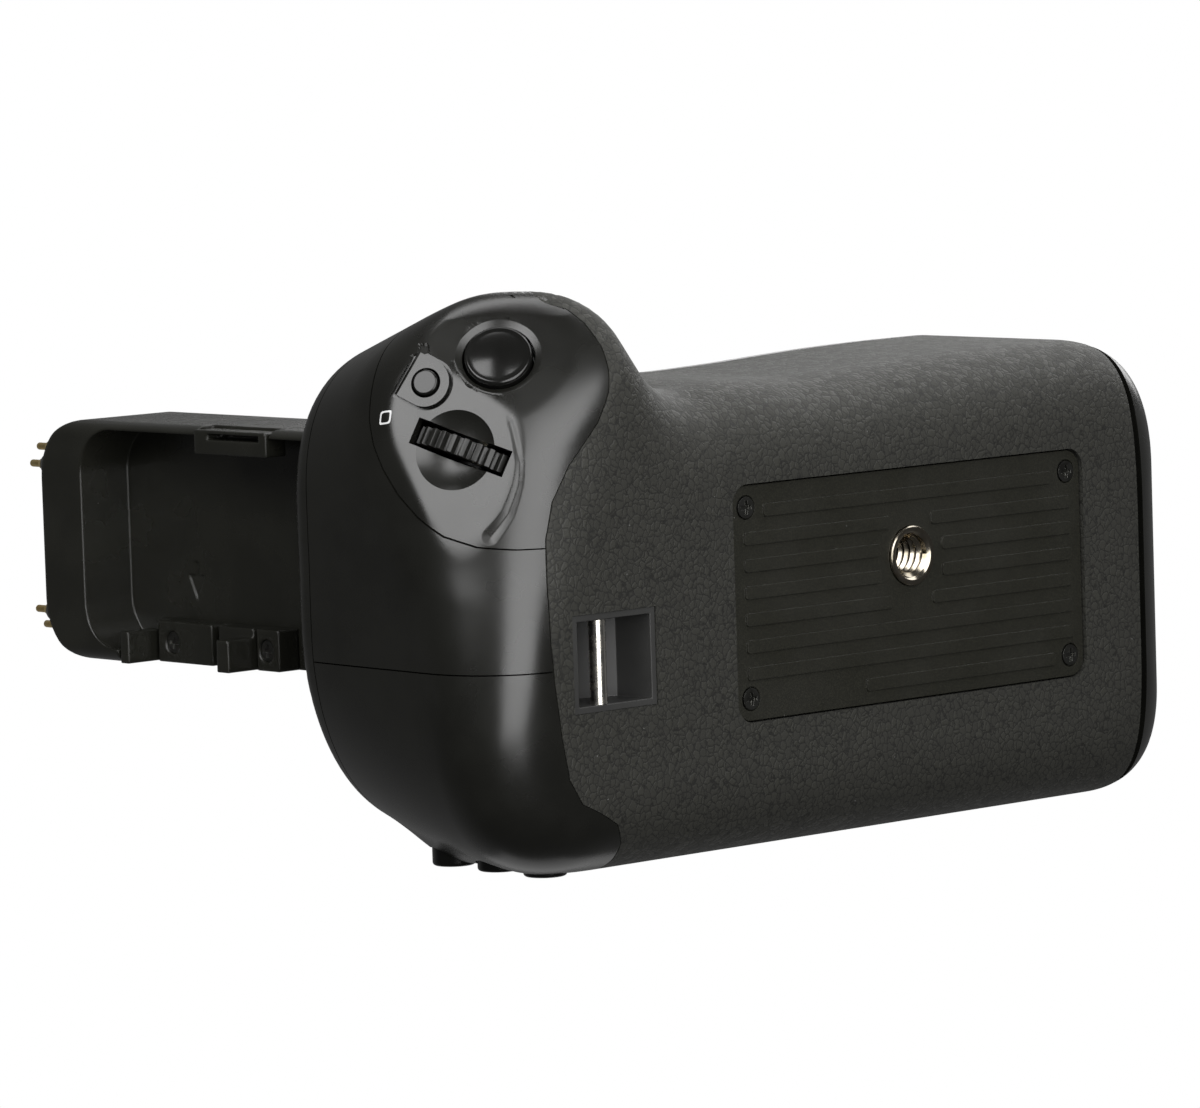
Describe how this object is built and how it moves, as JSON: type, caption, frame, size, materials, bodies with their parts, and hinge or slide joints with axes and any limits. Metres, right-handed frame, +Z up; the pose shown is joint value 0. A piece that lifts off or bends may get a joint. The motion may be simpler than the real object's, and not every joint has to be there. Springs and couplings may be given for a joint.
{
  "type": "camera battery grip",
  "caption": "Vertical battery grip for a camera body, with a battery-shaped stalk, sliding battery tray, tripod socket, thumb-wheel mounting screw and shutter-end controls.",
  "frame": {"origin": "on the tripod socket's axis, in the plane of the flat base", "axes": "+X along the grip from the shutter end to the tray end, +Y to the rear, +Z up out of the top face to the camera"},
  "size_m": [0.1424, 0.0859, 0.1151],
  "materials": {
    "grained_plastic": "fine leather grain",
    "satin_plastic": "smooth satin",
    "stalk_plastic": "semi gloss moulded",
    "button_plastic": "polished",
    "dial_plastic": "ribbed matte",
    "plate_metal": "black paint",
    "screw_steel": "black oxide",
    "nickel": "bright nickel",
    "chrome_bar": "polished",
    "gold": "gold plated",
    "inner_plastic": "fine matte",
    "circuit_board": "solder mask"
  },
  "bodies": {
    "housing": {"lower_housing": "grained_plastic", "top_cover": "satin_plastic", "control_cover": "satin_plastic", "side_panel": "satin_plastic", "rear_cover": "satin_plastic", "stalk": "stalk_plastic", "stalk_bracket": "stalk_plastic", "bracket_screw_1": "screw_steel", "bracket_screw_2": "screw_steel", "stalk_clip": "stalk_plastic", "contact_block_front": "stalk_plastic", "contact_block_rear": "stalk_plastic", "shutter_switch": "circuit_board", "area_switch": "circuit_board", "dial_axle": "nickel", "rear_switch_board": "circuit_board", "tripod_plate": "plate_metal", "plate_screw_1": "screw_steel", "plate_screw_2": "screw_steel", "plate_screw_3": "screw_steel", "plate_screw_4": "screw_steel", "tripod_insert": "nickel", "strap_well": "inner_plastic", "strap_bar": "chrome_bar", "tray_sleeve": "inner_plastic", "sleeve_contacts": "gold", "wheel_axle": "nickel", "screw_pivot": "nickel", "locating_pin": "nickel"},
    "tray": {"battery_tray": "inner_plastic", "tray_end_cap": "satin_plastic", "bay_contact_1": "gold", "bay_contact_2": "gold"},
    "contact_pin_1_body": {"contact_pin_1": "gold"},
    "contact_pin_2_body": {"contact_pin_2": "gold"},
    "contact_pin_3_body": {"contact_pin_3": "gold"},
    "contact_pin_4_body": {"contact_pin_4": "gold"},
    "shutter_button_body": {"shutter_button": "button_plastic"},
    "area_button_body": {"area_button": "button_plastic"},
    "main_dial_body": {"main_dial": "dial_plastic"},
    "rear_button_1_body": {"rear_button_1": "button_plastic"},
    "rear_button_2_body": {"rear_button_2": "button_plastic"},
    "rear_button_3_body": {"rear_button_3": "button_plastic"},
    "power_switch_body": {"power_switch": "button_plastic"},
    "latch_knob_body": {"latch_knob": "dial_plastic"},
    "mounting_wheel_body": {"mounting_wheel": "dial_plastic"},
    "mounting_screw_body": {"mounting_screw": "nickel"}
  },
  "joints": [
    {"name": "tray_slide", "type": "slide", "parent": "housing", "child": "tray", "axis": [1, 0, 0], "range_m": [0, 0.1]},
    {"name": "latch_turn", "type": "hinge", "parent": "tray", "child": "latch_knob_body", "pos_m": [0.055, 0.007, 0.0223], "axis": [1, 0, 0], "range_deg": [-90, 0]},
    {"name": "shutter_press", "type": "slide", "parent": "housing", "child": "shutter_button_body", "axis": [0.5882, 0.5822, 0.5612], "range_m": [0, 0.0015], "stiffness_N_per_m": 400},
    {"name": "area_press", "type": "slide", "parent": "housing", "child": "area_button_body", "axis": [0.8154, 0.3172, 0.4842], "range_m": [0, 0.0007], "stiffness_N_per_m": 400},
    {"name": "dial_spin", "type": "hinge", "parent": "housing", "child": "main_dial_body", "pos_m": [-0.07023, -0.01897, 0.01702], "axis": [0.4289, -0.8928, -0.1375], "continuous": true},
    {"name": "rear_press_1", "type": "slide", "parent": "housing", "child": "rear_button_1_body", "axis": [0, -1, 0], "range_m": [0, 0.0007], "stiffness_N_per_m": 400},
    {"name": "rear_press_2", "type": "slide", "parent": "housing", "child": "rear_button_2_body", "axis": [0, -1, 0], "range_m": [0, 0.0007], "stiffness_N_per_m": 400},
    {"name": "rear_press_3", "type": "slide", "parent": "housing", "child": "rear_button_3_body", "axis": [0, -1, 0], "range_m": [0, 0.0007], "stiffness_N_per_m": 400},
    {"name": "power_slide", "type": "slide", "parent": "housing", "child": "power_switch_body", "axis": [1, 0, 0], "range_m": [0, 0.004]},
    {"name": "pin_press_1", "type": "slide", "parent": "housing", "child": "contact_pin_1_body", "axis": [0, 0, -1], "range_m": [0, 0.0012], "stiffness_N_per_m": 300},
    {"name": "pin_press_2", "type": "slide", "parent": "housing", "child": "contact_pin_2_body", "axis": [0, 0, -1], "range_m": [0, 0.0012], "stiffness_N_per_m": 300},
    {"name": "pin_press_3", "type": "slide", "parent": "housing", "child": "contact_pin_3_body", "axis": [0, 0, -1], "range_m": [0, 0.0012], "stiffness_N_per_m": 300},
    {"name": "pin_press_4", "type": "slide", "parent": "housing", "child": "contact_pin_4_body", "axis": [0, 0, -1], "range_m": [0, 0.0012], "stiffness_N_per_m": 300},
    {"name": "screw_spin", "type": "hinge", "parent": "housing", "child": "mounting_screw_body", "pos_m": [0, 0, 0.04], "axis": [0, 0, 1], "continuous": true},
    {"name": "wheel_spin", "type": "hinge", "parent": "housing", "child": "mounting_wheel_body", "pos_m": [0, 0.03, 0.04], "axis": [0, 0, 1], "continuous": true}
  ],
  "couplings": [
    {"joint": "wheel_spin", "follows": "screw_spin", "ratio": -1.6667}
  ]
}
